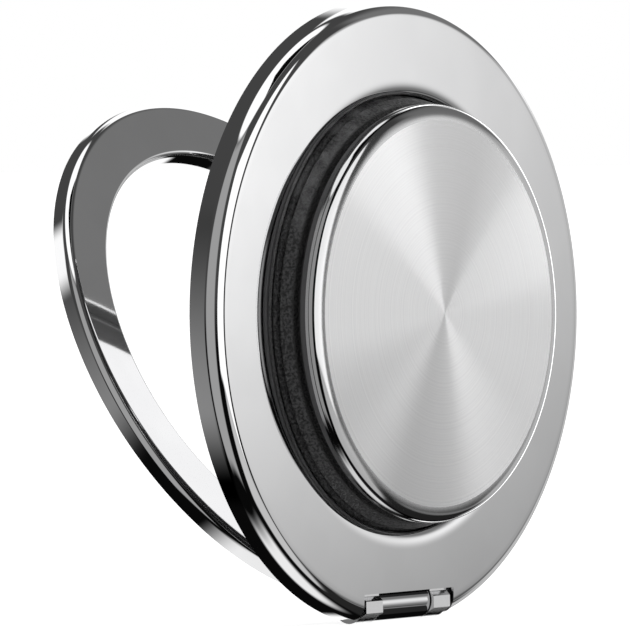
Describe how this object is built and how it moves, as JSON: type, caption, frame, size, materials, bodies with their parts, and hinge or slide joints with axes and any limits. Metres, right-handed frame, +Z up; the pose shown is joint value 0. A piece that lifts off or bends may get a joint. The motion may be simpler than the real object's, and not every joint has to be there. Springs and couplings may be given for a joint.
{
  "type": "phone grip",
  "caption": "Round magnetic phone grip with a pull-out spun metal cap on rubber bellows and a hinged ring that holds to the phone's back and opens as a stand.",
  "frame": {"origin": "centre of the magnet ring, in the plane of the pad that lies against the phone", "axes": "+Z up along the standing front plate, -Y out of the plate's front face towards the user, +X along the hinge axis"},
  "size_m": [0.06, 0.0354, 0.0595],
  "materials": {
    "chrome_shell": "polished chrome plate",
    "hinge_alloy": "plated die-cast alloy with satin faces",
    "cover_steel": "polished plate",
    "clamp_plastic": "black gloss",
    "bellows_rubber": "black, fine grain",
    "hinge_steel": "ground steel",
    "yoke_steel": "plain sheet steel",
    "pad_rubber": "black, fine leather-like grain",
    "spun_metal": "spun circular brush",
    "core_plastic": "black matte",
    "magnet_nickel": "bright nickel plate"
  },
  "bodies": {
    "ring": {"ring_frame": "chrome_shell", "yoke_ring": "yoke_steel", "magnet_01": "magnet_nickel", "magnet_02": "magnet_nickel", "magnet_03": "magnet_nickel", "magnet_04": "magnet_nickel", "magnet_05": "magnet_nickel", "magnet_06": "magnet_nickel", "magnet_07": "magnet_nickel", "magnet_08": "magnet_nickel", "magnet_09": "magnet_nickel", "magnet_10": "magnet_nickel", "magnet_11": "magnet_nickel", "magnet_12": "magnet_nickel", "magnet_13": "magnet_nickel", "magnet_14": "magnet_nickel", "magnet_15": "magnet_nickel", "magnet_16": "magnet_nickel", "phone_pad": "pad_rubber", "hinge_sleeve": "hinge_steel"},
    "plate": {"front_plate": "chrome_shell", "inner_frame": "hinge_alloy", "rear_cover": "cover_steel", "bellows_clamp": "clamp_plastic", "bellows": "bellows_rubber", "hinge_pin": "hinge_steel"},
    "push_cap": {"cap": "spun_metal", "cap_core": "core_plastic"}
  },
  "joints": [
    {"name": "stand_hinge", "type": "hinge", "parent": "ring", "child": "plate", "pos_m": [0, -0.01601, -0.02373], "axis": [1, 0, 0], "range_deg": [-27.7, 92.3]},
    {"name": "cap_slide", "type": "slide", "parent": "plate", "child": "push_cap", "axis": [0, 1, 0], "range_m": [0, 0.0044], "deforming": ["bellows"]}
  ]
}
